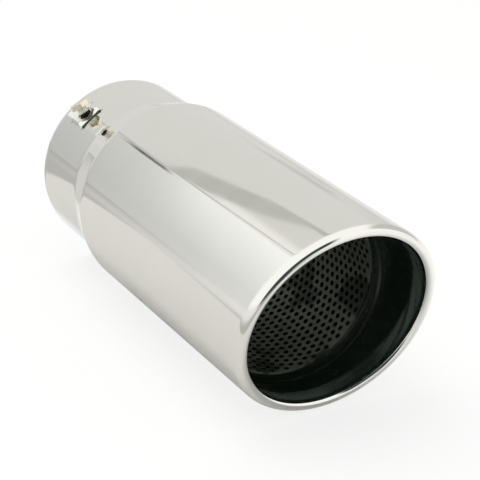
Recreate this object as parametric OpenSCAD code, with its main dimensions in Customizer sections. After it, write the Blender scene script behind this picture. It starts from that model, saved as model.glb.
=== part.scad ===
// Bolt-on exhaust tip: a polished slash-cut shell with a rolled lip, a black inner
// liner, a perforated tube behind it, and one set screw in a strap pressed out of the neck.
// Every piece is drawn standing on the neck end with its axis upright and the long side
// of the slash towards +Y, and laid() then turns it to its fitted place: the axis level,
// the mouth towards -Y, the long side up, the origin at the centre of the neck's open end.

/* [Shell] */
// Outside diameter of the body
body_d = 76; // [74:1:84]
// Outside diameter of the neck
neck_d = 69; // [64:0.5:70]
// Sheet thickness of the shell
wall = 1.2; // [0.8:0.1:1.6]
// Overall length, along the long side of the slash
overall_len = 180; // [165:1:220]
// Length of the straight neck
neck_len = 30.5; // [24:0.5:36]
// Length of the cone from the neck to the body
cone_len = 13.3; // [10:0.1:20]
// Bend radius on the outside where the neck meets the cone
neck_bend_r = 2.5; // [1:0.5:5]
// Bend radius on the outside where the cone meets the body
shoulder_r = 9; // [3:0.5:12]
// Angle of the slash cut, from square
slash_angle = 16.4; // [5:0.1:20]
// Outside radius of the rolled lip
lip_r = 2.1; // [1.8:0.1:2.6]
// Length along the axis over which the body bends into the lip
lip_ease = 4.5; // [3:0.5:6]

/* [Strap and screw] */
// Distance from the neck end to the middle of the strap
strap_from_end = 12.9; // [11:0.1:15]
// Turn of the strap from the top, towards the left
strap_angle = 37; // [0:1:90]
// Width of the strap along the axis
strap_w = 9.2; // [8:0.1:12]
// Length of the strap's flat top, round the neck
strap_flat = 9.8; // [8:0.1:12]
// Height of the flat top above the neck's outside
strap_rise = 1.1; // [0.9:0.1:2]
// Run of each sloping leg at the ends of the strap
leg_run = 0.8; // [0.5:0.1:2]
// Width of the slit on each side of the strap
slit_w = 0.3; // [0.3:0.1:0.8]
// Length of each slit past the foot of the strap
slit_over = 0.3; // [0.2:0.1:1.5]
// Diameter of the screw's shank
screw_d = 4; // [3:0.5:4]
// Length of the screw under its head
screw_len = 4.5; // [4:0.1:5]
// Width of the screw's hexagon head across its flats
head_af = 7; // [6:0.5:7.5]
// Height of the hexagon head
head_h = 1.9; // [1.6:0.1:2.4]
// Gap along the screw from the strap's flat top to the head
head_gap = 3; // [2.8:0.1:3.6]
// Lean of the screw back towards the neck end
screw_lean = 20; // [0:1:24]
// Lean of the screw up, towards the top of the tip
screw_side_lean = 10; // [0:1:12]
// Turn of the hexagon on its screw
head_turn = 28; // [0:1:59]
// Radial clearance of the screw in its hole
screw_fit = 0.1; // [0.05:0.05:0.2]
// Radius of the rounded-in entry of the hole
entry_r = 3.1; // [2.6:0.1:3.4]
// Depth of that entry
entry_depth = 0.7; // [0.4:0.1:0.9]

/* [Perforated tube] */
// Step from the neck's bore in to the inside of the perforated tube
perf_step = 0.3; // [0.1:0.05:0.4]
// Sheet thickness of the perforated tube
perf_wall = 0.8; // [0.6:0.1:1.2]
// Distance from the farthest point of the lip back to the tube's front edge
perf_setback = 43.8; // [42:0.1:60]
// Rows of holes round the tube
perf_rows = 72; // [24:2:80]
// Diameter of each hole
hole_d = 2; // [1.2:0.1:2.2]
// Distance from the front edge to the first ring of holes
perf_margin = 1.7; // [1.5:0.1:4]

/* [Liner] */
// Sheet thickness of the liner
liner_wall = 0.8; // [0.5:0.1:1]
// Length of the liner's collar over the perforated tube
collar_lap = 6; // [3:0.5:10]
// Height of the flat bead rolled into the liner
bead_h = 0.9; // [0.5:0.1:1.2]
// Width of that bead
bead_w = 6.2; // [4:0.2:7]
// Length of each sloping side of the bead
bead_ramp = 1.1; // [0.8:0.1:1.6]
// Play where one sheet seats on another
seat_play = 0.1; // [0.05:0.05:0.2]

/* [Hidden] */
fine = 96;
// Overlap of a cutting tool past what it cuts
past = 1;
body_r = body_d / 2;
neck_r = neck_d / 2;
bore_r = neck_r - wall;
slope = tan(slash_angle);
cone_end = neck_len + cone_len;
// Centre of the rolled lip's section, and the height of the slash plane through it
lip_centre_r = body_r - lip_r;
lip_plane = overall_len - slope * lip_centre_r - lip_r + lip_ease - norm([slope * lip_r, lip_ease]);
// The front of the shell is drawn on its own, from here to the lip
front_from = lip_plane - slope * body_r - lip_ease - 4;
// The front is thicker than the body by this on each side, so that the two merge cleanly
merge = 0.01;
// Height of the strap's flat top above the axis
strap_top = neck_r + strap_rise;
// The strap's feet end halfway through the wall of the neck, this far below the flat top
foot_drop = strap_top - sqrt(pow(neck_r - wall / 2, 2) - pow(strap_flat / 2 + leg_run, 2));
// Width of a leg's end, across its slope
leg_w = wall * norm([leg_run, foot_drop]) / foot_drop;
// Overlap of the strap's foot with the wall that carries it
foot_bite = 0.15;
// Outside bend radius at the ends of the flat top
strap_bend_r = 0.8;
hole_r = screw_d / 2 + screw_fit;
// Angle between the screw and the radius that it leans from
screw_tilt = acos(cos(screw_lean) * cos(screw_side_lean));
// Collar drawn inwards round the screw's hole, as deep as the free bore allows
collar_r = hole_r + 0.7;
bore_gap = 0.1;
collar_depth = (strap_top - bore_r - bore_gap - collar_r * sin(screw_tilt)) / cos(screw_tilt);
tip_bevel = 0.4;
// Washer face under the hexagon, and the bevel of the hexagon's corners
face_r = 0.585 * head_af;
face_h = 0.5;
head_bevel = 25;
// Perforated tube: the pitch makes three neighbouring holes an even triangle
// It keeps to the neck's bore, or to what the body leaves for it inside the liner's sheet
sleeve_room = body_r - wall - liner_wall - perf_wall - 3 * seat_play;
perf_r = min(bore_r, sleeve_room) - perf_step;
perf_front = overall_len - perf_setback;
row_turn = 360 / perf_rows;
pitch = 2 * PI * (perf_r + perf_wall / 2) / perf_rows / sin(60);
perf_corner_r = (perf_r + perf_wall) / cos(row_turn / 2);
// The tube's back edge seats where the cone is just wide enough for it
cone_share = (perf_corner_r + seat_play - bore_r) / (body_r - neck_r);
perf_back = neck_len + cone_len * max(0, min(1, cone_share));
first_hole = perf_front - perf_margin;
holes_in_row = floor((first_hole - perf_back - perf_margin) / pitch + 0.5);
// Inside radius of the liner at its collar, and at its front where it meets the lip's edge
liner_r = perf_corner_r + seat_play;
liner_front_r = body_r - 2 * lip_r + (wall - liner_wall) / 2;
liner_front = lip_plane - slope * body_r - 2;
bead_bend_r = 0.8;

// Points of an arc that rounds the corner b of the path a, b, c
function unit(v) = v / norm(v);
function corner(a, b, c, r, n = 6) =
  let (
    u = unit(a - b),
    v = unit(c - b),
    half = acos(u * v) / 2,
    centre = b + unit(u + v) * r / sin(half),
    from = b + u * r / tan(half) - centre,
    side = sign(u[0] * v[1] - u[1] * v[0]),
    sweep = side * (180 - 2 * half)
  )
  [for (i = [0:n])
    let (t = -sweep * i / n)
    centre + [from[0] * cos(t) - from[1] * sin(t), from[0] * sin(t) + from[1] * cos(t)]];

// Turns a piece from its drawn pose to its fitted place
module laid() {
  rotate([90, 0, 0]) children();
}

// Everything in front of the slash plane that crosses the axis at this height
module before_slash(height) {
  translate([0, 0, height])
    rotate([slash_angle, 0, 0])
      translate([-2 * body_d, -2 * body_d, 0])
        cube([4 * body_d, 4 * body_d, overall_len]);
}

// Places a piece on the middle of the strap's flat top, with +Y outwards and +X round the neck
module at_strap() {
  rotate([0, 0, strap_angle]) translate([0, strap_top, strap_from_end]) children();
}

// Places a piece on the screw's axis, with +Z out of the strap and 0 at its flat top
module on_screw_axis() {
  at_strap() rotate([0, 0, -screw_side_lean]) rotate([-90 - screw_lean, 0, 0]) children();
}

// Wall of the neck, the cone and the body, as one profile
module tube_profile() {
  skin = [[neck_r, 0], [neck_r, neck_len], [body_r, cone_end], [body_r, front_from]];
  inside = [for (p = skin) [p[0] - wall, p[1]]];
  polygon(concat(
    [skin[0]],
    corner(skin[0], skin[1], skin[2], neck_bend_r),
    corner(skin[1], skin[2], skin[3], shoulder_r),
    [skin[3], inside[3]],
    corner(inside[3], inside[2], inside[1], shoulder_r - wall),
    corner(inside[2], inside[1], inside[0], neck_bend_r + wall),
    [inside[0]]
  ));
}

// Section of the lip's skin this far outside its surface: the body eases into the crest, and a
// quarter round turns back from there to the mouth's edge
function lip_skin(offset, n = 12) = concat(
  [for (i = [0:n]) let (t = 90 * i / n)
    [lip_centre_r + (lip_r + offset) * cos(t), lip_r - lip_ease + (lip_ease + offset) * sin(t)]],
  [for (i = [1:n]) let (t = 90 + 90 * i / n)
    [lip_centre_r + (lip_r + offset) * cos(t), (lip_r + offset) * sin(t)]]
);

// Front of the body, with the lip rolled inwards through a half turn
module lip_profile() {
  below = lip_plane - front_from + 2 * slope * body_r;
  inside = lip_skin(-wall - merge);
  polygon(concat(
    [[body_r + merge, -below]],
    lip_skin(merge),
    [for (i = [len(inside) - 1:-1:0]) inside[i]],
    [[body_r - wall - merge, -below]]
  ));
}

// The front leans with the slash: its profile is turned round the axis and then sheared
module shell_front() {
  intersection() {
    multmatrix([[1, 0, 0, 0], [0, 1, 0, 0], [0, slope, 1, lip_plane], [0, 0, 0, 1]])
      rotate_extrude($fn = fine) lip_profile();
    translate([-body_d, -body_d, front_from]) cube([2 * body_d, 2 * body_d, overall_len]);
  }
}

// Strip pressed out of the neck: a flat top on two sloping legs that end inside the wall
module strap_profile() {
  top = [strap_flat / 2, 0];
  foot = [strap_flat / 2 + leg_run, -foot_drop];
  under = [top[0] + leg_run * wall / foot_drop - leg_w, -wall];
  heel = [foot[0] - leg_w, -foot_drop];
  half = concat([foot], corner(foot, top, [0, 0], strap_bend_r, 4));
  hollow = concat(corner([0, -wall], under, heel, strap_bend_r / 2, 4), [heel]);
  polygon(concat(
    half,
    [for (i = [len(half) - 1:-1:0]) [-half[i][0], half[i][1]]],
    [for (i = [len(hollow) - 1:-1:0]) [-hollow[i][0], hollow[i][1]]],
    hollow
  ));
}

// Opening left in the neck under the strap, with a slit along each of its free edges
module strap_window() {
  half_window = strap_flat / 2 + leg_run - leg_w - foot_bite;
  half_slit = strap_flat / 2 + leg_run + slit_over;
  reach = strap_top - bore_r + past;
  translate([-half_window, -reach, -strap_w / 2 - slit_w])
    cube([2 * half_window, reach + past, strap_w + 2 * slit_w]);
  for (side = [-1, 1])
    translate([-half_slit, -reach, side * (strap_w + slit_w) / 2 - slit_w / 2])
      cube([2 * half_slit, reach + past, slit_w]);
}

// The strap with the collar of its screw hole, the hole along the leaning screw and its entry
module strap() {
  hole_depth = strap_top - bore_r + past;
  difference() {
    union() {
      at_strap() translate([0, 0, -strap_w / 2]) linear_extrude(strap_w) strap_profile();
      on_screw_axis() translate([0, 0, -collar_depth])
        cylinder(h = collar_depth - wall / 2, r = collar_r, $fn = fine);
    }
    on_screw_axis() translate([0, 0, -hole_depth])
      cylinder(h = hole_depth + past, r = hole_r, $fn = fine);
    at_strap() rotate([-90, 0, 0]) translate([0, 0, -entry_depth])
      cylinder(h = entry_depth + past, r1 = hole_r,
        r2 = entry_r + (entry_r - hole_r) * past / entry_depth, $fn = fine);
  }
}

module outer_shell() {
  color([0.82, 0.82, 0.8]) laid() {
    difference() {
      rotate_extrude($fn = fine) tube_profile();
      at_strap() strap_window();
    }
    strap();
    shell_front();
  }
}

// Sheet sleeve: its collar laps the perforated tube, its bead stops that tube,
// and its slashed front edge is caught behind the lip
module liner_profile() {
  bead_from = perf_front + seat_play;
  path = [
    [liner_r, perf_front - collar_lap],
    [liner_r, bead_from],
    [liner_r - bead_h, bead_from + bead_ramp],
    [liner_r - bead_h, bead_from + bead_w - bead_ramp],
    [liner_r, bead_from + bead_w],
    [liner_front_r, liner_front],
    [liner_front_r, overall_len]
  ];
  inside = concat(
    [path[0]],
    corner(path[0], path[1], path[2], bead_bend_r, 4),
    corner(path[1], path[2], path[3], bead_bend_r, 4),
    corner(path[2], path[3], path[4], bead_bend_r, 4),
    corner(path[3], path[4], path[5], bead_bend_r, 4),
    [path[5], path[6]]
  );
  polygon(concat(inside, [for (i = [len(inside) - 1:-1:0]) inside[i] + [liner_wall, 0]]));
}

module inner_liner() {
  color([0.06, 0.07, 0.06]) laid() difference() {
    rotate_extrude($fn = fine) liner_profile();
    before_slash(lip_plane - seat_play);
  }
}

// Outline with one flat for each row of holes, this far from the axis
module facet_ring(apothem) {
  polygon([for (row = [0:perf_rows - 1])
    let (t = 90 + row_turn * (row + 0.5))
    apothem / cos(row_turn / 2) * [cos(t), sin(t)]]);
}

// Sheet rolled into a tube: one flat for each row of holes, and every other row half a pitch on
module perforated_tube() {
  color([0.3, 0.31, 0.28]) laid() difference() {
    translate([0, 0, perf_back]) linear_extrude(perf_front - perf_back) difference() {
      facet_ring(perf_r + perf_wall);
      facet_ring(perf_r);
    }
    for (row = [0:perf_rows - 1], k = [0:holes_in_row - 1])
      rotate([0, 0, row_turn * row])
        translate([0, perf_r - past, first_hole - (k + (row % 2) / 2) * pitch])
          rotate([-90, 0, 0]) cylinder(h = perf_wall + 2 * past, r = hole_d / 2, $fn = 24);
  }
}

// Hexagon-headed set screw with a washer face under the head and a bevelled tip
module clamp_screw() {
  shank_r = screw_d / 2;
  tip = head_gap - screw_len;
  head_top = head_gap + head_h;
  flat_r = head_af / 2;
  color([0.78, 0.72, 0.56]) laid() on_screw_axis() {
    rotate_extrude($fn = fine) polygon([
      [0, tip],
      [shank_r - tip_bevel, tip],
      [shank_r, tip + tip_bevel],
      [shank_r, head_gap],
      [face_r, head_gap],
      [face_r, head_gap + face_h],
      [0, head_gap + face_h]
    ]);
    intersection() {
      translate([0, 0, head_gap + face_h / 2]) rotate([0, 0, head_turn])
        cylinder(h = head_h - face_h / 2, r = flat_r / cos(30), $fn = 6);
      rotate_extrude($fn = fine) polygon([
        [0, head_gap],
        [head_af, head_gap],
        [head_af, head_top - flat_r * tan(head_bevel)],
        [flat_r, head_top],
        [0, head_top]
      ]);
    }
  }
}

outer_shell();
inner_liner();
perforated_tube();
clamp_screw();
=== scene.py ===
"""Exhaust tip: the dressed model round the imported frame, with its studio and its camera."""
import math

import bpy
from mathutils import Matrix, Vector


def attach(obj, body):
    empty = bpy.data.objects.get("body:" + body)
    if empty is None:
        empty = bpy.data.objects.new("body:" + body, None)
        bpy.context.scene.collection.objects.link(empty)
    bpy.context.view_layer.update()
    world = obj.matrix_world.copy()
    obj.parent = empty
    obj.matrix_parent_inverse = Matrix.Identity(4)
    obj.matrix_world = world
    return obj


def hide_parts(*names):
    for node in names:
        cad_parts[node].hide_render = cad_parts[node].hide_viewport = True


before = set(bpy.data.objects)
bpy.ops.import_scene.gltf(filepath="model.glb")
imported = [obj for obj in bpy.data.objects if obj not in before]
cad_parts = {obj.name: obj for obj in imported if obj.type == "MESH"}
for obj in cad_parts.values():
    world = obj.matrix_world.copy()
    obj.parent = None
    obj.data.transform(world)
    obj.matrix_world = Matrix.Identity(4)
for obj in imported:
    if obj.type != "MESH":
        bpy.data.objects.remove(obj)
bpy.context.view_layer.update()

MM = 0.001

# Sizes in millimetres and degrees, those of the part's source, except that here the bend from neck to
# cone is softer, the collar under the strap ends level and the screw's washer face is thinner. The
# strap's bevel and dip, the thread and the worn edges of the hexagon are drawn here alone.
# A point is (angle from the top towards -X, distance from the axis, distance from the neck's end
# towards the mouth).
BODY_R = 38.0
NECK_R = 34.5
WALL = 1.2
BORE_R = NECK_R - WALL
OVERALL = 180.0
NECK_LEN = 30.5
CONE_LEN = 13.3
NECK_BEND_R = 14.0
SHOULDER_R = 9.0
BODY_FROM = 4.0
SLOPE = math.tan(math.radians(16.4))
LIP_R = 2.1
LIP_EASE = 4.5
LIP_CENTRE_R = BODY_R - LIP_R
LIP_PLANE = OVERALL - SLOPE * LIP_CENTRE_R - LIP_R + LIP_EASE - math.hypot(SLOPE * LIP_R, LIP_EASE)
LEAN_FROM = -16.0
END_ROUND = 0.3

STRAP_AT = 12.9
STRAP_ANGLE = 37.0
STRAP_W = 9.2
STRAP_FLAT = 9.8
STRAP_TOP = NECK_R + 1.1
STRAP_BEND_R = 0.8
STRAP_INNER_BEND_R = 0.4
STRAP_DIP_FROM = 2.4
STRAP_DIP = 0.29
STRAP_BEVEL = 0.07
LEG_RUN = 0.8
SLIT_W = 0.3
SLIT_OVER = 0.3
HOLE_R = 2.1
ENTRY_R = 3.1
ENTRY_DEPTH = 0.7
COLLAR_WALL = 0.7
COLLAR_DEPTH = 1.7
SCREW_LEAN = 20.0
SCREW_SIDE_LEAN = 10.0
SCREW_R = 2.0
SCREW_LEN = 4.5
HEAD_GAP = 3.0
HEAD_AF = 7.0
HEAD_H = 1.9
HEAD_TURN = 28.0
WASHER_R = 0.585 * HEAD_AF
TIP_BEVEL = 0.4
THREAD_PITCH = 0.7
THREAD_DEPTH = 0.32
THREAD_CREST = 1.35
# Height on the screw below which its shank is near-black, painted shade by the hole
IN_SHADE_TO = 0.5

PERF_R = BORE_R - 0.3
PERF_WALL = 0.8
PERF_ROWS = 72
PERF_FRONT = OVERALL - 43.8
PERF_MARGIN = 1.7
HOLE_PERF_R = 1.0
SEAT = 0.1

LINER_WALL = 0.8
COLLAR_LAP = 6.0
BEAD_H = 0.9
BEAD_W = 6.2
BEAD_RAMP = 1.1
BEAD_BEND_R = 0.8

ROUND = 240
COLUMN_GAP = 0.4
WINDOW_PLAY = 0.15
FLOOR_Z = -BODY_R * MM

# Material slots of the strap: polished, near-black painted shade in the hole and underneath, and sheared
# edges in dark green, partly painted shade
POLISHED, IN_SHADE, SHEARED_AND_SHADE = range(3)


def at(angle, radius, along):
    """A point of the tip in metres, from its angle in degrees, radius and place along the axis."""
    t = math.radians(angle)
    return (-radius * math.sin(t) * MM, -along * MM, radius * math.cos(t) * MM)


def arc(centre, radius, start, end, steps):
    """Points of an arc in (radius, along), its angles counted from outwards towards the mouth."""
    points = []
    for i in range(steps + 1):
        t = math.radians(start + (end - start) * i / steps)
        points.append((centre[0] + radius * math.cos(t), centre[1] + radius * math.sin(t)))
    return points


def corner(a, b, c, radius, steps=8):
    """Points of the arc that rounds the corner b of the path a, b, c."""
    a, b, c = Vector(a), Vector(b), Vector(c)
    u = (a - b).normalized()
    v = (c - b).normalized()
    half = math.acos(max(-1.0, min(1.0, u.dot(v)))) / 2
    centre = b + (u + v).normalized() * radius / math.sin(half)
    start = b + u * radius / math.tan(half) - centre
    side = 1 if u.x * v.y - u.y * v.x > 0 else -1
    sweep = -side * (math.pi - 2 * half)
    points = []
    for i in range(steps + 1):
        t = sweep * i / steps
        turned = Vector((start.x * math.cos(t) - start.y * math.sin(t),
                         start.x * math.sin(t) + start.y * math.cos(t)))
        points.append(tuple(centre + turned))
    return points


def mesh_object(name, points, faces, materials, slots=None, sharp=40.0):
    """A smooth-shaded object whose edges above the sharp angle stay crisp."""
    mesh = bpy.data.meshes.new(name)
    mesh.from_pydata(points, [], faces)
    mesh.update()
    for material in materials:
        mesh.materials.append(material)
    if slots:
        mesh.polygons.foreach_set("material_index", slots)
    mesh.polygons.foreach_set("use_smooth", [True] * len(mesh.polygons))
    mesh.set_sharp_from_angle(angle=math.radians(sharp))
    piece = bpy.data.objects.new(name, mesh)
    bpy.context.scene.collection.objects.link(piece)
    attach(piece, "root")
    return piece


# Shell

def shell_columns():
    """Angles of the shell's columns: an even round, with lines along the strap's window."""
    half_window, half_slit = window_halves()
    lines = [STRAP_ANGLE + math.degrees(math.asin(x / NECK_R))
             for x in (-half_slit, -half_window, half_window, half_slit)]
    even = [360.0 * i / ROUND for i in range(ROUND)]
    return sorted(lines + [a for a in even if min(abs(a - b) for b in lines) > COLUMN_GAP])


def foot_drop():
    """Depth of the strap's feet, in the middle of the neck's wall, under its flat top."""
    return STRAP_TOP - math.sqrt((NECK_R - WALL / 2) ** 2 - (STRAP_FLAT / 2 + LEG_RUN) ** 2)


def leg_width():
    """Width of a sloping leg, measured along the strap."""
    return WALL * math.hypot(LEG_RUN, foot_drop()) / foot_drop()


def window_halves():
    """Half lengths round the neck of the strap's window and of the slits beside it."""
    half_window = STRAP_FLAT / 2 + LEG_RUN - leg_width() - WINDOW_PLAY
    return half_window, STRAP_FLAT / 2 + LEG_RUN + SLIT_OVER


def neck_rows():
    """Places along the neck of the rows that both of its faces share."""
    half = STRAP_W / 2
    marks = [-half - SLIT_W, -half, 0.0, half, half + SLIT_W]
    return [2.0, 5.0] + [STRAP_AT + mark for mark in marks] + [21.0, 24.0, 27.0]


def lip_skin(offset, steps):
    """Section of the lip's skin this far outside its surface: the body eases into the crest, and a
    quarter round turns back from there to the mouth's edge."""
    points = []
    for i in range(2 * steps + 1):
        t = math.radians(90.0 * i / steps)
        ease = LIP_EASE if i < steps else LIP_R
        points.append((LIP_CENTRE_R + (LIP_R + offset) * math.cos(t),
                       LIP_R - ease + (ease + offset) * math.sin(t)))
    return points


def shell_profile():
    """Closed section of the shell as (radius, along, leaning) points, outside first."""
    cone_end = NECK_LEN + CONE_LEN
    skin = [(NECK_R, 0.0), (NECK_R, NECK_LEN), (BODY_R, cone_end), (BODY_R, LIP_PLANE)]
    inside = [(r - WALL, s) for r, s in skin]
    straight = neck_rows()
    outer = arc((NECK_R - END_ROUND, END_ROUND), END_ROUND, -90, 0, 3)
    outer += [(NECK_R, s) for s in straight]
    outer += corner(skin[0], skin[1], skin[2], NECK_BEND_R)
    outer += corner(skin[1], skin[2], skin[3], SHOULDER_R, 14)
    inner = corner(inside[3], inside[2], inside[1], SHOULDER_R - WALL, 14)
    inner += corner(inside[2], inside[1], inside[0], NECK_BEND_R + WALL)
    inner += [(BORE_R, s) for s in reversed(straight)]
    inner += arc((BORE_R + END_ROUND, END_ROUND), END_ROUND, 180, 270, 3)
    end_points = 4
    ease_from = LIP_R - LIP_EASE
    leaning = [(BODY_R, LEAN_FROM), (BODY_R, ease_from - 1.0), (BODY_R, ease_from - 0.15)]
    leaning += lip_skin(0.0, 28) + lip_skin(-WALL, 12)[::-1]
    leaning += [(BODY_R - WALL, ease_from - 1.0), (BODY_R - WALL, LEAN_FROM)]
    profile = [(r, s, False) for r, s in outer]
    profile += [(BODY_R, cone_end + BODY_FROM, False)]
    profile += [(r, s, True) for r, s in leaning]
    profile += [(BODY_R - WALL, cone_end + BODY_FROM, False)]
    profile += [(r, s, False) for r, s in inner]
    first_outer = end_points
    first_inner = len(profile) - end_points - len(straight)
    return profile, first_outer, first_inner


def shell_point(angle, radius, along, leaning):
    """A point of the shell: the rows near the lip lean with the slash."""
    if leaning:
        along += LIP_PLANE + SLOPE * radius * math.cos(math.radians(angle))
    return at(angle, radius, along)


def make_shell(polished, satin):
    """Neck, cone, body and rolled lip as one sheet, with the strap's window left open."""
    profile, first_outer, first_inner = shell_profile()
    columns = shell_columns()
    rows = neck_rows()
    n, m = len(profile), len(columns)
    points = [shell_point(a, *p) for a in columns for p in profile]
    half_window, half_slit = window_halves()

    def is_open(col, k):
        """Whether the cell between rows k and k + 1 of the neck is cut away. The turn keeps to the
        strap's side, because x is small across the neck as well."""
        if k < 0 or k + 1 >= len(rows):
            return False
        width = (columns[(col + 1) % m] - columns[col]) % 360
        x = abs(NECK_R * math.sin(math.radians(columns[col] + width / 2 - STRAP_ANGLE)))
        turn = abs(columns[col] + width / 2 - STRAP_ANGLE)
        z = abs((rows[k] + rows[k + 1]) / 2 - STRAP_AT)
        if turn > 40 or z > STRAP_W / 2 + SLIT_W:
            return False
        return x < half_window or (x < half_slit and z > STRAP_W / 2)

    def row_of(j):
        """The neck row that starts cell j of the profile, or -1."""
        if first_outer <= j < first_outer + len(rows) - 1:
            return j - first_outer
        if first_inner <= j < first_inner + len(rows) - 1:
            return len(rows) - 2 - (j - first_inner)
        return -1

    faces, slots = [], []
    lip_end = max(j for j, p in enumerate(profile) if p[2] and p[1] > 0 and p[0] < LIP_CENTRE_R)
    for c in range(m):
        d = (c + 1) % m
        for j in range(n):
            k = (j + 1) % n
            if is_open(c, row_of(j)):
                continue
            faces.append((c * n + j, d * n + j, d * n + k, c * n + k))
            # The inside faces take the second material, near-black as painted shade
            slots.append(1 if lip_end < j < n - 1 else 0)

    def rim(next_c, next_k, a, b):
        """Closes the sheet's cut edge from a to b, each a column and row of an open cell's corner,
        if the next cell on that side is closed."""
        if is_open(next_c, next_k):
            return
        (ca, ka), (cb, kb) = a, b
        last = first_inner + len(rows) - 1
        faces.append((ca * n + first_outer + ka, cb * n + first_outer + kb,
                      cb * n + last - kb, ca * n + last - ka))
        slots.append(0)

    for c in range(m):
        d = (c + 1) % m
        for k in range(len(rows) - 1):
            if not is_open(c, k):
                continue
            rim(c, k - 1, (c, k), (d, k))
            rim(c, k + 1, (d, k + 1), (c, k + 1))
            rim((c - 1) % m, k, (c, k + 1), (c, k))
            rim(d, k, (d, k), (d, k + 1))
    piece = mesh_object("shell", points, faces, [polished, satin], slots)
    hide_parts("outer_shell")
    return piece


# Strap and screw

def strap_frame():
    """From the strap's own millimetres (x round the neck towards the top, y outwards, z towards the
    mouth) to metres in the part."""
    t = math.radians(STRAP_ANGLE)
    x = Vector((math.cos(t), 0, math.sin(t)))
    y = Vector((-math.sin(t), 0, math.cos(t)))
    z = Vector((0, -1, 0))
    origin = Vector(at(STRAP_ANGLE, STRAP_TOP, STRAP_AT))
    basis = Matrix((x, y, z)).transposed().to_4x4()
    return Matrix.Translation(origin) @ basis @ Matrix.Scale(MM, 4)


def screw_turn():
    """Turn from the screw's own frame, with +Z out of the strap, to the strap's frame."""
    lean = Matrix.Rotation(math.radians(-90 - SCREW_LEAN), 4, "X")
    side = Matrix.Rotation(math.radians(-SCREW_SIDE_LEAN), 4, "Z")
    return side @ lean


def hole_ring(depth, radius, count):
    """Ring of the screw's hole at this height: the section of a round that leans with the screw."""
    axis = screw_turn() @ Vector((0, 0, 1))
    longer = 1.08 if radius < ENTRY_R else 1.0
    ring = []
    for i in range(count):
        t = 2 * math.pi * i / count
        x, z = radius * math.cos(t), radius * math.sin(t)
        shift = depth / axis.y
        ring.append(Vector((x + axis.x * shift, depth, z * longer + axis.z * shift)))
    return ring


def square_ring(half_x, half_z, y, count):
    """Points round a rectangle, one for each step of a ring of the same count."""
    ring = []
    for i in range(count):
        t = 2 * math.pi * i / count
        c, s = math.cos(t), math.sin(t)
        k = 1 / max(abs(c), abs(s))
        ring.append(Vector((half_x * c * k, y, half_z * s * k)))
    return ring


def lerp_ring(a, b, t):
    return [p.lerp(q, t) for p, q in zip(a, b)]


def dipped(points):
    """The points of the strap's sheet, which bends down towards its cut front edge."""
    return [p - Vector((0, STRAP_DIP * max(0.0, p.z - STRAP_DIP_FROM), 0)) for p in points]


def strap_rings(half_x, half_under, count):
    """Rings of the strap's flat: along its top to the drawn hole, down the throat and the collar,
    and out along the underside. Also gives the ring from which the near-black painted shade begins."""
    collar = HOLE_R + COLLAR_WALL
    top_square = square_ring(half_x, STRAP_W / 2, 0.0, count)
    low_square = square_ring(half_under, STRAP_W / 2, -WALL, count)
    entry = hole_ring(0.0, ENTRY_R, count)
    throat = hole_ring(-ENTRY_DEPTH, HOLE_R, count)
    mouth = hole_ring(-COLLAR_DEPTH, HOLE_R, count)
    collar_end = hole_ring(-COLLAR_DEPTH, collar, count)
    collar_top = hole_ring(-WALL, collar, count)
    rings = [lerp_ring(top_square, entry, t) for t in (0.0, 0.12, 0.3, 0.5, 0.7, 0.88, 0.96, 1.0)]
    for t, rounding in ((0.25, 0.10), (0.5, 0.13), (0.75, 0.10)):
        rings.append([p + Vector((0, rounding, 0)) for p in lerp_ring(entry, throat, t)])
    # From this ring on, the throat, the collar and the underside are near-black, painted shade
    in_shade_from = len(rings) - 1
    rings += [throat, mouth, collar_end, collar_top, lerp_ring(collar_top, low_square, 0.5), low_square]
    return rings, in_shade_from


def add_leg(points, faces, slots, last_top, last_low, section):
    """Runs a leg of the strap on from the flat's side, from one pair of points of its section to the
    next: a point on its outside and one on its inside."""
    z_of = [points[i].z for i in last_top]
    cells = len(last_top) - 1
    for (ox, oy), (ux, uy) in section:
        start = len(points)
        points += dipped([Vector((ox, oy, z)) for z in z_of])
        points += dipped([Vector((ux, uy, z)) for z in z_of])
        new_top = list(range(start, start + cells + 1))
        new_low = list(range(start + cells + 1, start + 2 * cells + 2))
        for i in range(cells):
            faces.append((last_top[i], last_top[i + 1], new_top[i + 1], new_top[i]))
            faces.append((last_low[i + 1], last_low[i], new_low[i], new_low[i + 1]))
        faces.append((last_top[0], new_top[0], new_low[0], last_low[0]))
        faces.append((new_top[-1], last_top[-1], last_low[-1], new_low[-1]))
        slots += [POLISHED] * (2 * cells) + [SHEARED_AND_SHADE, SHEARED_AND_SHADE]
        last_top, last_low = new_top, new_low
    for i in range(cells):
        faces.append((last_top[i], last_top[i + 1], last_low[i + 1], last_low[i]))
        slots.append(POLISHED)


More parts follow.
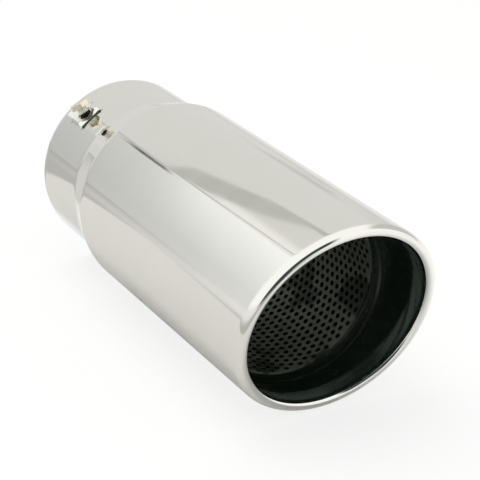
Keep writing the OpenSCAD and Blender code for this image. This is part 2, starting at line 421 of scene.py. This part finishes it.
def make_strap(polished, in_shade, sheared_and_shade):
    """Flat top with its drawn screw hole, and two legs that run down into the neck's wall. The
    hole's throat and the flat's underside are near-black, painted shade; the cut edges are sheared
    steel in dark green, partly painted shade."""
    count = 128
    quarter, eighth = count // 4, count // 8
    drop = foot_drop()
    width = leg_width()
    top = (STRAP_FLAT / 2, 0.0)
    foot = (STRAP_FLAT / 2 + LEG_RUN, -drop)
    under = (top[0] + LEG_RUN * WALL / drop - width, -WALL)
    heel = (foot[0] - width, -drop)
    over_leg = corner((0, 0), top, foot, STRAP_BEND_R, 6) + [foot]
    under_leg = corner((0, -WALL), under, heel, STRAP_INNER_BEND_R, 6) + [heel]
    rings, in_shade_from = strap_rings(over_leg[0][0], under_leg[0][0], count)
    points = [p for ring in rings for p in dipped(ring)]
    faces, slots = [], []
    for k in range(len(rings) - 1):
        for i in range(count):
            j = (i + 1) % count
            faces.append((k * count + i, (k + 1) * count + i, (k + 1) * count + j, k * count + j))
            slots.append(IN_SHADE if k >= in_shade_from else POLISHED)
    low = (len(rings) - 1) * count
    for side, first in ((1, -eighth), (-1, quarter + eighth)):
        strip = [(first + i) % count for i in range(quarter + 1)]
        section = [((side * ox, oy), (side * ux, uy))
                   for (ox, oy), (ux, uy) in zip(over_leg[1:], under_leg[1:])]
        add_leg(points, faces, slots, strip, [low + i for i in strip], section)
    # The flat's front and back edges take the dark green of sheared steel, partly painted shade
    for first in (eighth, -quarter - eighth):
        for i in range(quarter):
            a = (first + i) % count
            b = (first + i + 1) % count
            faces.append((a, b, low + b, low + a))
            slots.append(SHEARED_AND_SHADE)
    to_part = strap_frame()
    points = [to_part @ p for p in points]
    piece = mesh_object("strap", points, faces, [polished, in_shade, sheared_and_shade], slots)
    bevel = piece.modifiers.new("rounded edges", "BEVEL")
    bevel.width = STRAP_BEVEL * MM
    bevel.segments = 2
    bevel.limit_method = "ANGLE"
    bevel.angle_limit = math.radians(50)
    bevel.harden_normals = True
    return piece


def thread_radius(turn, height):
    """Radius of a right-hand thread at an angle in turns and a height."""
    phase = (height / THREAD_PITCH - turn) % 1.0
    flank = 1 - abs(2 * phase - 1)
    fade = min(1.0, max(0.0, (HEAD_GAP - height) / 0.3))
    return SCREW_R - THREAD_DEPTH * (1 - min(1.0, THREAD_CREST * flank)) * fade


def screw_shank():
    """Threaded shank with a bevelled tip."""
    count = 72
    tip = HEAD_GAP - SCREW_LEN
    steps = 84
    points, faces = [Vector((0, 0, tip))], []
    for k in range(steps + 1):
        h = tip + SCREW_LEN * k / steps
        bevel = max(0.0, TIP_BEVEL - (h - tip))
        for i in range(count):
            t = 2 * math.pi * i / count
            r = min(thread_radius(i / count, h), SCREW_R - bevel)
            points.append(Vector((r * math.cos(t), r * math.sin(t), h)))
    for i in range(count):
        j = (i + 1) % count
        faces.append((0, 1 + j, 1 + i))
        for k in range(steps):
            a, b = 1 + k * count, 1 + (k + 1) * count
            faces.append((a + i, a + j, b + j, b + i))
    last = 1 + steps * count
    faces.append(tuple(last + i for i in range(count)))
    return points, faces


def hexagon_radius(t):
    """Distance from the axis to the hexagon's side, with its six edges a little worn."""
    turn = t % (math.pi / 3) - math.pi / 6
    return min(HEAD_AF / 2 / math.cos(turn), HEAD_AF / math.sqrt(3) - 0.06)


def screw_head():
    """Washer face, hexagon and the bevel of its corners, as one closed turned form."""
    count = 96
    flat = HEAD_AF / 2 * 0.97
    top = HEAD_GAP + HEAD_H
    bevel = math.tan(math.radians(25))
    steps = [(0.0, WASHER_R - 0.15), (0.1, WASHER_R), (0.32, WASHER_R), (0.34, HEAD_AF)]
    rings = []
    for rise, limit in steps:
        radii = [min(limit, hexagon_radius(2 * math.pi * i / count)) for i in range(count)]
        rings.append([(r, HEAD_GAP + rise) for r in radii])
    for share in (0.0, 0.25, 0.5, 0.75, 1.0):
        ring = []
        for i in range(count):
            edge = hexagon_radius(2 * math.pi * i / count)
            r = edge + (flat - edge) * share
            ring.append((r, top - (r - flat) * bevel))
        rings.append(ring)
    points, faces = [Vector((0, 0, HEAD_GAP))], []
    for ring in rings:
        for i, (r, height) in enumerate(ring):
            t = math.radians(HEAD_TURN) + 2 * math.pi * i / count
            points.append(Vector((r * math.cos(t), r * math.sin(t), height)))
    points.append(Vector((0, 0, top)))
    for i in range(count):
        j = (i + 1) % count
        faces.append((0, 1 + j, 1 + i))
        for k in range(len(rings) - 1):
            a, b = 1 + k * count, 1 + (k + 1) * count
            faces.append((a + i, a + j, b + j, b + i))
        last = 1 + (len(rings) - 1) * count
        faces.append((last + i, last + j, len(points) - 1))
    return points, faces


def make_screw(plated, thread, in_shade):
    """Hexagon-headed set screw on its leaning axis, its shank near-black up to the strap: painted shade.
    """
    to_part = strap_frame() @ screw_turn()
    points, faces = screw_shank()
    head_points, head_faces = screw_head()
    start = len(points)
    # The shank's faces low down by the hole take the near-black painted shade, the rest the plated thread
    slots = [1 if max(points[i].z for i in f) > IN_SHADE_TO else 2 for f in faces] + [0] * len(head_faces)
    faces = faces + [tuple(i + start for i in f) for f in head_faces]
    points = [to_part @ p for p in points + head_points]
    piece = mesh_object("set_screw", points, faces, [plated, thread, in_shade], slots, sharp=28.0)
    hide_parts("clamp_screw")
    return piece


# Inside

def make_liner(gloss):
    """Black sleeve from its collar over the perforated tube to its slashed front behind the lip."""
    corner_r = (PERF_R + PERF_WALL) / math.cos(math.pi / PERF_ROWS)
    liner_r = corner_r + SEAT
    front_r = BODY_R - 2 * LIP_R + (WALL - LINER_WALL) / 2
    bead = PERF_FRONT + SEAT
    flare_end = LIP_PLANE - SLOPE * BODY_R - 2
    path = [(liner_r, PERF_FRONT - COLLAR_LAP), (liner_r, bead), (liner_r - BEAD_H, bead + BEAD_RAMP),
            (liner_r - BEAD_H, bead + BEAD_W - BEAD_RAMP), (liner_r, bead + BEAD_W), (front_r, flare_end)]
    inside = [path[0]]
    for i in range(1, 5):
        inside += corner(path[i - 1], path[i], path[i + 1], BEAD_BEND_R, 6)
    inside.append(path[5])
    rolled = [(r, s, False) for r, s in inside]
    rolled += [(front_r, -SEAT - 0.1, True), (front_r + 0.1, -SEAT, True)]
    rolled += [(front_r + LINER_WALL - 0.1, -SEAT, True), (front_r + LINER_WALL, -SEAT - 0.1, True)]
    rolled += [(r + LINER_WALL, s, False) for r, s in reversed(inside)]
    n = len(rolled)
    points = [shell_point(360.0 * i / ROUND, *p) for i in range(ROUND) for p in rolled]
    faces = [(c * n + j, c * n + (j + 1) % n, (c + 1) % ROUND * n + (j + 1) % n, (c + 1) % ROUND * n + j)
             for c in range(ROUND) for j in range(n)]
    piece = mesh_object("liner", points, faces, [gloss])
    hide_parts("inner_liner")
    return piece


def make_perforated_tube(sheet, shade_black):
    """Ring of flats, each with its row of round holes, every other row half a pitch on."""
    flat = 360.0 / PERF_ROWS
    pitch = 2 * math.pi * (PERF_R + PERF_WALL / 2) / PERF_ROWS / math.sin(math.radians(60))
    corner_r = (PERF_R + PERF_WALL) / math.cos(math.radians(flat / 2))
    back = NECK_LEN + (corner_r + SEAT - BORE_R) / (BODY_R - NECK_R) * CONE_LEN
    first = PERF_FRONT - PERF_MARGIN
    holes = int((first - back - PERF_MARGIN) / pitch + 0.5)
    levels = [PERF_FRONT] + [first + pitch / 2 - k * pitch / 2 for k in range(2 * holes + 2)] + [back]
    skins = (PERF_R, PERF_R + PERF_WALL)
    sides = 12
    points, faces, hole_walls = [], [], []
    for skin in skins:
        edge_r = skin / math.cos(math.radians(flat / 2))
        points += [at(flat * (row - 0.5), edge_r, s) for row in range(PERF_ROWS) for s in levels]
    count = len(levels)
    skin_size = PERF_ROWS * count

    def edge(skin, row, level):
        """Number of the point on the edge before this row's flat."""
        return skin * skin_size + row % PERF_ROWS * count + level

    def add(skin, face):
        faces.append(face if skin else tuple(reversed(face)))

    def add_plain_ends(skin, row, shift):
        """The flat's margins, with the half pitch that its row of holes leaves at one end."""
        half_pitch = (1, 2) if shift else (count - 3, count - 2)
        for a, b in ((0, 1), half_pitch, (count - 2, count - 1)):
            add(skin, (edge(skin, row, a), edge(skin, row, b),
                       edge(skin, row + 1, b), edge(skin, row + 1, a)))

    def add_hole(skin, radius, row, top):
        """The six faces round a hole, between its rim and the points about it on the flat's edges.
        Gives the number of the rim's first point."""
        start = len(points)
        for i in range(sides):
            t = 2 * math.pi * i / sides
            across, along = HOLE_PERF_R * math.cos(t), HOLE_PERF_R * math.sin(t)
            angle = flat * row + math.degrees(math.atan2(across, radius))
            points.append(at(angle, math.hypot(across, radius), levels[top + 1] + along))
        about = [(1, 1), (1, 0), (0, 0), (0, 1), (0, 2), (1, 2)]
        outline = [edge(skin, row + r, top + level) for r, level in about]
        for i in range(6):
            h = [start + (2 * i + d) % sides for d in (0, 1, 2)]
            add(skin, (outline[(i + 1) % 6], outline[i], h[0], h[1], h[2]))
        return start

    for row in range(PERF_ROWS):
        shift = row % 2
        for skin in (0, 1):
            add_plain_ends(skin, row, shift)
        for k in range(holes):
            top = 1 + shift + 2 * k
            inner, outer = [add_hole(skin, radius, row, top) for skin, radius in enumerate(skins)]
            for i in range(sides):
                j = (i + 1) % sides
                hole_walls.append((inner + i, inner + j, outer + j, outer + i))
    for row in range(PERF_ROWS):
        for level in (0, count - 1):
            face = (edge(0, row, level), edge(1, row, level),
                    edge(1, row + 1, level), edge(0, row + 1, level))
            faces.append(face if level == 0 else tuple(reversed(face)))
    # The hole walls take near-black, painted shade in the holes
    slots = [0] * len(faces) + [1] * len(hole_walls)
    piece = mesh_object("perforated_sheet", points, faces + hole_walls, [sheet, shade_black], slots, sharp=20.0)
    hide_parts("perforated_tube")
    return piece


# Materials

class Nodes:
    """Short ways to add and link shader nodes."""

    def __init__(self, tree):
        self.tree = tree
        tree.nodes.clear()

    def add(self, kind, **settings):
        node = self.tree.nodes.new(kind)
        for name, value in settings.items():
            setattr(node, name, value)
        return node

    def link(self, source, target):
        self.tree.links.new(source, target)

    def set(self, socket, value):
        if isinstance(value, bpy.types.NodeSocket):
            self.link(value, socket)
        else:
            socket.default_value = value

    def math(self, operation, a, b=0.0):
        node = self.add("ShaderNodeMath", operation=operation)
        self.set(node.inputs[0], a)
        self.set(node.inputs[1], b)
        return node.outputs[0]

    def times(self, first, *others):
        for other in others:
            first = self.math("MULTIPLY", first, other)
        return first

    def plus(self, first, *others):
        for other in others:
            first = self.math("ADD", first, other)
        return first

    def minus(self, a, b):
        return self.math("SUBTRACT", a, b)

    def ramp(self, value, low, high, out_low=0.0, out_high=1.0, smooth=True):
        """Maps a value from low..high to out_low..out_high, clamped. Low may be above high."""
        node = self.add("ShaderNodeMapRange", interpolation_type="SMOOTHSTEP" if smooth else "LINEAR")
        for name, item in (("Value", value), ("From Min", low), ("From Max", high),
                           ("To Min", out_low), ("To Max", out_high)):
            self.set(node.inputs[name], item)
        return node.outputs["Result"]

    def band(self, value, low, high, soft):
        """1 between low and high, falling to 0 over a soft width outside them."""
        return self.times(self.ramp(value, low - soft, low), self.ramp(value, high, high + soft, 1.0, 0.0))

    def mix(self, factor, a, b):
        node = self.add("ShaderNodeMix", data_type="FLOAT")
        for socket, value in zip((node.inputs[0], node.inputs[2], node.inputs[3]), (factor, a, b)):
            self.set(socket, value)
        return node.outputs[0]

    def mix_colour(self, factor, a, b):
        node = self.add("ShaderNodeMix", data_type="RGBA")
        for socket, value in zip((node.inputs[0], node.inputs[6], node.inputs[7]), (factor, a, b)):
            self.set(socket, value)
        return node.outputs[2]

    def mix_shader(self, factor, a, b):
        node = self.add("ShaderNodeMixShader")
        self.set(node.inputs[0], factor)
        self.link(a, node.inputs[1])
        self.link(b, node.inputs[2])
        return node.outputs[0]

    def split(self, kind):
        """The x, y and z of a texture coordinate of this kind."""
        coordinates = self.add("ShaderNodeTexCoord")
        axes = self.add("ShaderNodeSeparateXYZ")
        self.link(coordinates.outputs[kind], axes.inputs[0])
        return axes.outputs

    def noise(self, scale, detail=2.0, shift=(0, 0, 0)):
        """Noise over the object's own coordinates in metres, stretched by its scale along each axis
        and then shifted."""
        coordinates = self.add("ShaderNodeTexCoord")
        mapping = self.add("ShaderNodeMapping")
        mapping.inputs["Scale"].default_value = scale
        mapping.inputs["Location"].default_value = shift
        self.link(coordinates.outputs["Object"], mapping.inputs["Vector"])
        node = self.add("ShaderNodeTexNoise")
        self.link(mapping.outputs["Vector"], node.inputs["Vector"])
        node.inputs["Scale"].default_value = 1.0
        node.inputs["Detail"].default_value = detail
        return node.outputs["Fac"]

    def bump(self, height, strength, distance):
        node = self.add("ShaderNodeBump")
        node.inputs["Strength"].default_value = strength
        node.inputs["Distance"].default_value = distance
        self.link(height, node.inputs["Height"])
        return node.outputs["Normal"]


def surface(name, **sockets):
    """A principled material with constants set on its sockets, its node helper and its inputs."""
    material = bpy.data.materials.new(name)
    material.use_nodes = True
    nodes = Nodes(material.node_tree)
    shader = nodes.add("ShaderNodeBsdfPrincipled")
    output = nodes.add("ShaderNodeOutputMaterial")
    nodes.link(shader.outputs[0], output.inputs["Surface"])
    for socket, value in sockets.items():
        shader.inputs[socket].default_value = value
    return material, nodes, shader.inputs


def polished_steel():
    """Mirror-polished stainless sheet: faint polishing haze and the slow waves of rolled sheet."""
    material, nodes, inputs = surface("polished steel", Metallic=1.0)
    clear, hazed = (0.86, 0.86, 0.835, 1), (0.9, 0.895, 0.875, 1)
    haze = nodes.noise((60, 60, 60), 4.0)
    waves = nodes.noise((34, 9, 34), 1.0)
    nodes.link(nodes.mix_colour(haze, clear, hazed), inputs["Base Color"])
    nodes.link(nodes.ramp(haze, 0.3, 0.8, 0.035, 0.075), inputs["Roughness"])
    nodes.link(nodes.bump(waves, 0.25, 0.6 * MM), inputs["Normal"])
    return material


def satin_inside_painted_shade():
    """Unpolished inside of the shell, near-black as painted shade in the bore and behind the
    perforations, with faint drawing lines along it.
    """
    material, nodes, inputs = surface("unpolished steel", Metallic=1.0)
    # Both colours are near-black: painted shade of the shell's inside
    shade_black, shade_streak = (0.014, 0.018, 0.013, 1), (0.024, 0.028, 0.021, 1)
    lines = nodes.noise((900, 30, 900), 3.0)
    nodes.link(nodes.mix_colour(lines, shade_black, shade_streak), inputs["Base Color"])
    nodes.link(nodes.ramp(lines, 0.2, 0.8, 0.32, 0.48), inputs["Roughness"])
    nodes.link(nodes.bump(lines, 0.3, 0.2 * MM), inputs["Normal"])
    return material


def gloss_black():
    """Black glossy coating of the liner with orange peel. Paler fine rings lie behind the lip,
    broken in places, and thinly where the liner meets the perforated tube: dust, and painted
    highlights on the coating."""
    material, nodes, inputs = surface("gloss black coating", IOR=1.5)
    black, green_black = (0.004, 0.008, 0.005, 1), (0.007, 0.014, 0.009, 1)
    # Pale grey of the rings: dust, partly a painted highlight
    dust_and_sheen_colour = (0.1, 0.13, 0.11, 1)
    _, y, z = nodes.split("Object")
    slashed = nodes.plus(y, nodes.times(z, SLOPE))
    depth = nodes.math("DIVIDE", nodes.plus(slashed, LIP_PLANE * MM), MM)
    broken_in_places = nodes.ramp(nodes.noise((26, 26, 26)), 0.38, 0.55, 0.25, 1.0)
    rings = nodes.ramp(nodes.noise((14, 420, 14), 3.0), 0.3, 0.65, 0.3, 1.0)
    behind_lip = nodes.times(nodes.band(depth, 2.5, 5.5, 2.5), broken_in_places)
    at_tube = nodes.times(nodes.ramp(depth, 17.0, 28.0), 0.4)
    dust_and_sheen = nodes.times(nodes.math("MAXIMUM", behind_lip, at_tube), rings)
    spots = nodes.noise((220, 220, 220), 3.0)
    peel = nodes.noise((500, 500, 500), 1.0)
    coat = nodes.mix_colour(spots, black, green_black)
    nodes.link(nodes.mix_colour(dust_and_sheen, coat, dust_and_sheen_colour), inputs["Base Color"])
    roughness = nodes.plus(nodes.ramp(spots, 0.3, 0.8, 0.16, 0.3), nodes.times(dust_and_sheen, 0.2))
    nodes.link(roughness, inputs["Roughness"])
    nodes.link(nodes.bump(peel, 0.15, 0.2 * MM), inputs["Normal"])
    return material


def dark_sheet():
    """Dark satin perforated sheet, mottled by its coating, with near-black patches in places."""
    material, nodes, inputs = surface("dark perforated sheet", Metallic=0.6)
    dark, pale, dark_patch_colour = (0.2, 0.225, 0.19, 1), (0.37, 0.4, 0.325, 1), (0.02, 0.03, 0.022, 1)
    patches = nodes.noise((45, 45, 45), 3.0)
    grain = nodes.noise((900, 900, 900))
    # Near-black patches at random places on the sheet
    dark_patches = nodes.ramp(nodes.noise((70, 70, 70), 4.0, (0.53, -1.288, 0.763)), 0.53, 0.62)
    coat = nodes.mix_colour(patches, dark, pale)
    nodes.link(nodes.mix_colour(nodes.times(dark_patches, 0.75), coat, dark_patch_colour), inputs["Base Color"])
    nodes.link(nodes.ramp(grain, 0.3, 0.8, 0.38, 0.55), inputs["Roughness"])
    nodes.link(nodes.bump(grain, 0.2, 0.1 * MM), inputs["Normal"])
    return material


def dirty_steel(name, dark, pale, metallic):
    """Satin steel with fine dirt, for cut edges, holes and the thread. Near-black colours given to
    it are painted shade, and the dark green of the cut edges partly so.
    """
    material, nodes, inputs = surface(name, Metallic=metallic)
    dirt = nodes.noise((700, 700, 700))
    nodes.link(nodes.mix_colour(dirt, dark, pale), inputs["Base Color"])
    nodes.link(nodes.ramp(dirt, 0.3, 0.8, 0.35, 0.6), inputs["Roughness"])
    return material


def zinc_plating():
    """Pale yellow zinc plating with a faint change of tint and satin wear."""
    material, nodes, inputs = surface("yellow zinc plating", Metallic=1.0)
    yellow, pale = (0.82, 0.74, 0.55, 1), (0.9, 0.85, 0.74, 1)
    tint = nodes.noise((240, 240, 240), 3.0)
    nodes.link(nodes.mix_colour(tint, yellow, pale), inputs["Base Color"])
    nodes.link(nodes.ramp(tint, 0.3, 0.8, 0.22, 0.4), inputs["Roughness"])
    return material


# Studio

def floor_tones(nodes):
    """The floor's colour by place in metres, seen only by the metal's lower half and its edges and
    in the light thrown back on the object: painted reflections of the studio's light and shade, white
    in front, grey behind and far to the left, dim far in front on the left, lighter under the body."""
    grey_tone = (1, 1, 0.98, 1)
    shaded, white, front_white = (0.69, 0.682, 0.662, 1), (0.88, 0.885, 0.89, 1), (0.98, 0.97, 0.95, 1)
    right_tone, dim_tone = (0.77, 0.77, 0.765, 1), (0.06, 0.07, 0.07, 1)
    x, y, _ = nodes.split("Object")

    # Where the grey begins: behind the body, and beyond a slanting line on its left
    behind = nodes.times(nodes.ramp(nodes.plus(y, nodes.times(x, 0.75)), 0.038, 0.052),
                         nodes.ramp(x, -0.04, -0.015, 1.0, 0.0))
    beside = nodes.ramp(nodes.plus(x, nodes.times(y, 0.37)), -0.185, -0.171, 1.0, 0.0)
    grey = nodes.math("MAXIMUM", behind, beside)

    # How dark the grey is, far off and close by
    aside = nodes.plus(y, nodes.times(x, 1.3))
    far = nodes.times(nodes.ramp(aside, -0.21, 0.08, 0.73, 0.485, smooth=False),
                      nodes.ramp(x, -0.9, -0.33, 1.3, 1.0, smooth=False))
    close = nodes.ramp(nodes.plus(y, nodes.times(x, 2.0)), -0.05, 0.03, 0.455, 0.6)
    shade = nodes.mix(nodes.ramp(x, -0.16, -0.3), close, far)

    # Painted tones on the left, under the body, on the right and in front; lighter under the body,
    # which lifts its shadow where the metal reflects it
    near = nodes.mix_colour(nodes.ramp(x, -0.034, -0.022), shaded, white)
    near = nodes.mix_colour(nodes.ramp(x, 0.11, 0.17), near, right_tone)
    near = nodes.mix_colour(nodes.ramp(nodes.minus(x, y), 0.215, 0.285), near, front_white)
    lit = nodes.mix_colour(grey, near, nodes.mix_colour(shade, (0, 0, 0, 1), grey_tone))
    dim = nodes.times(nodes.ramp(y, -0.5, -0.22, 0.85, 0.0), nodes.ramp(x, 0.1, -0.05))
    return nodes.mix_colour(dim, lit, dim_tone)


def make_floor():
    """Pale paper floor, white to the camera, that keeps the object's shadow."""
    half = 1.3
    corners = [(-half, -half), (half, -half), (half, half), (-half, half)]
    mesh = bpy.data.meshes.new("floor")
    mesh.from_pydata([(x, y, FLOOR_Z) for x, y in corners], [], [(0, 1, 2, 3)])
    material = bpy.data.materials.new("paper")
    material.use_nodes = True
    nodes = Nodes(material.node_tree)
    paper = nodes.add("ShaderNodeBsdfDiffuse")
    # The floor's colour to all but the camera holds painted reflections of light and shade
    nodes.link(floor_tones(nodes), paper.inputs["Color"])
    shadowed = nodes.add("ShaderNodeBsdfDiffuse")
    shadowed.inputs["Color"].default_value = (0.95, 0.95, 0.95, 1)
    white = nodes.add("ShaderNodeEmission")
    to_camera = nodes.mix_shader(0.8, shadowed.outputs[0], white.outputs[0])
    rays = nodes.add("ShaderNodeLightPath")
    choice = nodes.mix_shader(rays.outputs["Is Camera Ray"], paper.outputs[0], to_camera)
    output = nodes.add("ShaderNodeOutputMaterial")
    nodes.link(choice, output.inputs["Surface"])
    mesh.materials.append(material)
    floor = bpy.data.objects.new("floor", mesh)
    bpy.context.scene.collection.objects.link(floor)


# The light tent is made of zones of direction. In them, az is the turn round the tip's axis from
# straight up towards -X in degrees, back is how far the direction points along +Y, and a level of
# 1 is white. Zones are laid over one another in turn.

EVEN_LEVEL = 0.74


def side_wall(nodes, az, back, mask):
    """Grey wall on the left, lighter towards its top, with a bright patch deep behind the neck."""
    wall = nodes.ramp(back, 0.77, 0.865, 0.82, 0.56, smooth=False)
    glow = nodes.times(nodes.ramp(az, 22, 78, 0.28, 0.0, smooth=False),
                       nodes.ramp(back, 0.82, 0.842, 1.0, 0.28, smooth=False))
    deep = nodes.ramp(back, 0.9, 0.96, 0.0, 0.14)
    patch = nodes.times(nodes.band(az, 24.0, 38.0, 5.0), nodes.band(back, 0.8675, 0.885, 0.002))
    wall = nodes.plus(nodes.plus(wall, glow), nodes.plus(deep, patch))
    return nodes.mix(mask, EVEN_LEVEL, nodes.math("MINIMUM", wall, 1.03))


def smudge(nodes, az, back, level):
    """Faint broken grey low on the right, as from a creased sheet."""
    creases = nodes.ramp(nodes.noise((9, 34, 9), 3.0), 0.42, 0.6)
    place = nodes.times(nodes.band(az, -88, -80, 9), nodes.band(back, 0.79, 0.812, 0.014), creases)
    return nodes.times(level, nodes.minus(1.0, nodes.times(place, 0.2)))


def wedge_mask(nodes, az, back):
    """Slanting wedge overhead between two bent edges. An edge's az is the sum of three parts, each
    (back from, back to, az added before, az added after)."""
    near_edge = [(0.78, 0.80, -4.5, 0.0), (0.80, 0.829, -17.5, 4.0), (0.829, 0.835, 0.0, 13.5)]
    far_edge = [(0.783, 0.80, -19.0, 0.0), (0.80, 0.82, 2.5, 18.0), (0.82, 0.832, 0.0, 3.0)]
    edges = [nodes.plus(*[nodes.ramp(back, *part, smooth=False) for part in parts])
             for parts in (near_edge, far_edge)]
    above = nodes.ramp(nodes.minus(az, edges[0]), -0.5, 0.8)
    below = nodes.ramp(nodes.minus(az, edges[1]), -0.8, 0.4, 1.0, 0.0)
    return nodes.times(above, below, nodes.ramp(back, 0.8345, 0.836, 1.0, 0.0))


def overhead(nodes, az, back, level, wedge):
    """Bright sheet between the wedge and the side wall, the wedge, a dark slit where the sheet stops
    short of the wall, and the thin seam along both."""
    sheet = nodes.times(nodes.ramp(az, 6.0, 16.0), nodes.ramp(back, 0.812, 0.826, 1.0, 0.0),
                        nodes.ramp(az, 20.5, 22.5, 1.0, 0.0))
    level = nodes.mix(sheet, level, 0.93)
    level = nodes.mix(wedge, level, 0.53)
    slit = nodes.times(nodes.band(az, 23.2, 25.4, 1.1), nodes.band(back, 0.8375, 0.846, 0.0045))
    level = nodes.mix(nodes.times(slit, 0.95), level, 0.06)
    from_seam = nodes.minus(az, nodes.ramp(back, 0.785, 0.825, 18.9, 21.1, smooth=False))
    return nodes.mix(nodes.times(nodes.band(from_seam, -0.3, 0.3, 0.5), 0.7), level, 0.36)


def make_world():
    """The light tent: zones to glossy rays, one even level to the rest, and white to the camera."""
    wall_tint, overhead_tint = (1.0, 1.0, 0.975, 1), (1.0, 0.985, 0.94, 1)
    wedge_tint, dark_tint = (1.0, 1.0, 0.93, 1), (0.85, 1.0, 0.97, 1)
    world = bpy.data.worlds.new("tent")
    bpy.context.scene.world = world
    world.use_nodes = True
    nodes = Nodes(world.node_tree)
    x, back, z = nodes.split("Generated")
    az = nodes.times(nodes.math("ARCTAN2", nodes.times(x, -1.0), z), 180 / math.pi)
    wall_mask = nodes.times(nodes.ramp(az, 21.0, 23.0), nodes.ramp(az, 130, 170, 1.0, 0.0))
    wedge = wedge_mask(nodes, az, back)
    level = side_wall(nodes, az, back, wall_mask)
    level = smudge(nodes, az, back, level)
    level = overhead(nodes, az, back, level, wedge)

    # Towards the mouth: bright all round, grey on the right, dark at the front's left
    mouthward = nodes.times(nodes.ramp(back, 0.785, 0.6), nodes.ramp(az, 84.0, 96.0, 1.0, 0.0))
    right = nodes.times(nodes.ramp(x, 0.58, 0.72), nodes.band(back, 0.2, 0.72, 0.25))
    dark = nodes.times(nodes.band(back, -0.88, -0.3, 0.12), nodes.ramp(x, 0.22, -0.04),
                       nodes.ramp(z, -0.25, -0.1))
    level = nodes.mix(mouthward, level, 1.06)
    level = nodes.mix(right, level, 0.6)
    level = nodes.mix(dark, level, 0.06)
    tint = nodes.mix_colour(wall_mask, overhead_tint, wall_tint)
    tint = nodes.mix_colour(wedge, tint, wedge_tint)
    tint = nodes.mix_colour(dark, tint, dark_tint)

    backgrounds = []
    for colour, strength in ((tint, level), ((1.0, 0.99, 0.96, 1), EVEN_LEVEL), ((1, 1, 1, 1), 1.0)):
        background = nodes.add("ShaderNodeBackground")
        nodes.set(background.inputs["Color"], colour)
        nodes.set(background.inputs["Strength"], strength)
        backgrounds.append(background.outputs[0])
    zones, even, white = backgrounds
    rays = nodes.add("ShaderNodeLightPath")
    lit = nodes.mix_shader(rays.outputs["Is Glossy Ray"], even, zones)
    choice = nodes.mix_shader(rays.outputs["Is Camera Ray"], lit, white)
    output = nodes.add("ShaderNodeOutputWorld")
    nodes.link(choice, output.inputs["Surface"])


def make_lamp():
    """One large soft lamp above and behind the camera's left, for the floor's shadow."""
    light = bpy.data.lights.new("overhead", "AREA")
    light.shape = "DISK"
    light.size = 0.9
    light.energy = 6.0
    lamp = bpy.data.objects.new("overhead", light)
    lamp.location = (-0.2, 0.1, 1.1)
    towards = Vector((0, -OVERALL / 2 * MM, 0)) - lamp.location
    lamp.rotation_euler = towards.to_track_quat("-Z", "Y").to_euler()
    lamp.visible_glossy = False
    bpy.context.scene.collection.objects.link(lamp)


def make_camera():
    """The photograph's viewpoint, found by fitting the outline, the mouth and the rows of holes."""
    data = bpy.data.cameras.new("camera")
    data.lens = 129.15
    data.sensor_width = 36.0
    data.clip_start = 0.05
    camera = bpy.data.objects.new("camera", data)
    camera.location = (-0.27436, -0.60048, 0.25611)
    look = Vector((0.43977, 0.80169, -0.40483))
    camera.rotation_euler = look.to_track_quat("-Z", "Y").to_euler()
    bpy.context.scene.collection.objects.link(camera)
    bpy.context.scene.camera = camera


def build():
    polished = polished_steel()
    # Near-black of the hole's throat, the strap's underside and the shank below it: painted shade
    in_shade = dirty_steel("oiled hole", (0.012, 0.017, 0.014, 1), (0.03, 0.042, 0.034, 1), 0.7)
    thread = dirty_steel("plated thread", (0.88, 0.85, 0.76, 1), (0.97, 0.95, 0.9, 1), 0.35)
    # Dark green of the strap's cut edges: sheared steel, partly painted shade
    sheared_and_shade = dirty_steel("sheared edge", (0.1, 0.17, 0.13, 1), (0.19, 0.28, 0.23, 1), 0.7)
    # Near-black walls of the perforations: painted shade in the holes
    shade_black = dirty_steel("sooted hole wall", (0.004, 0.006, 0.004, 1), (0.01, 0.013, 0.01, 1), 0.2)
    make_shell(polished, satin_inside_painted_shade())
    make_strap(polished, in_shade, sheared_and_shade)
    make_screw(zinc_plating(), thread, in_shade)
    make_liner(gloss_black())
    make_perforated_tube(dark_sheet(), shade_black)
    make_floor()
    make_world()
    make_lamp()
    make_camera()
    bpy.context.scene.view_settings.view_transform = "Standard"


build()
